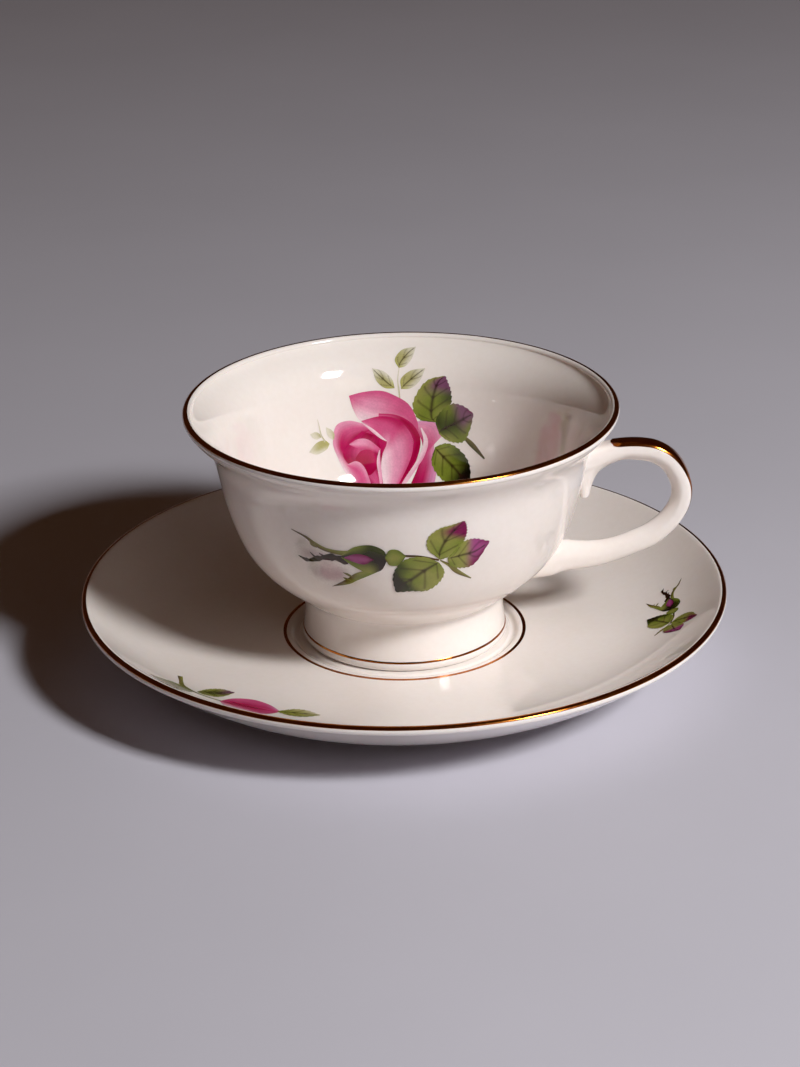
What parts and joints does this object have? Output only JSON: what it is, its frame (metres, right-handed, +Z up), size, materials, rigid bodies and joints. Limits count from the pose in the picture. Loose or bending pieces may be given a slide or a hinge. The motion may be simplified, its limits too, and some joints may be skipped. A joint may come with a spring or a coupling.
{
  "type": "footed teacup with saucer",
  "caption": "Footed porcelain teacup with a flared lip and a loop handle, resting in the well of its matching saucer.",
  "frame": {"origin": "centre of the saucer's foot ring, on the plane it stands on", "axes": "+Z up, +X towards the cup's handle, +Y towards the back"},
  "size_m": [0.151, 0.151, 0.0629],
  "materials": {
    "porcelain": "gloss",
    "gold": "bright burnished gold",
    "rose_transfer": "gloss",
    "leaf_transfer": "gloss",
    "purple_transfer": "gloss",
    "olive_transfer": "gloss"
  },
  "bodies": {
    "saucer": {"saucer_body": "porcelain", "saucer_rim_gilding": "gold", "saucer_well_gilding": "gold", "saucer_rosebud_transfer": "rose_transfer", "saucer_purple_bud_transfer": "purple_transfer", "saucer_rear_bud_transfer": "rose_transfer"},
    "cup": {"bowl": "porcelain", "foot": "porcelain", "handle": "porcelain", "rim_gilding": "gold", "foot_gilding": "gold", "handle_gilding": "gold", "inner_rose_transfer": "rose_transfer", "inner_leaf_transfer": "leaf_transfer", "inner_sprig_transfer": "olive_transfer", "outer_bud_transfer": "purple_transfer"}
  },
  "joints": [
    {"name": "cup_lift", "type": "slide", "parent": "saucer", "child": "cup", "axis": [0, 0, 1], "range_m": [0, 0.06]}
  ]
}
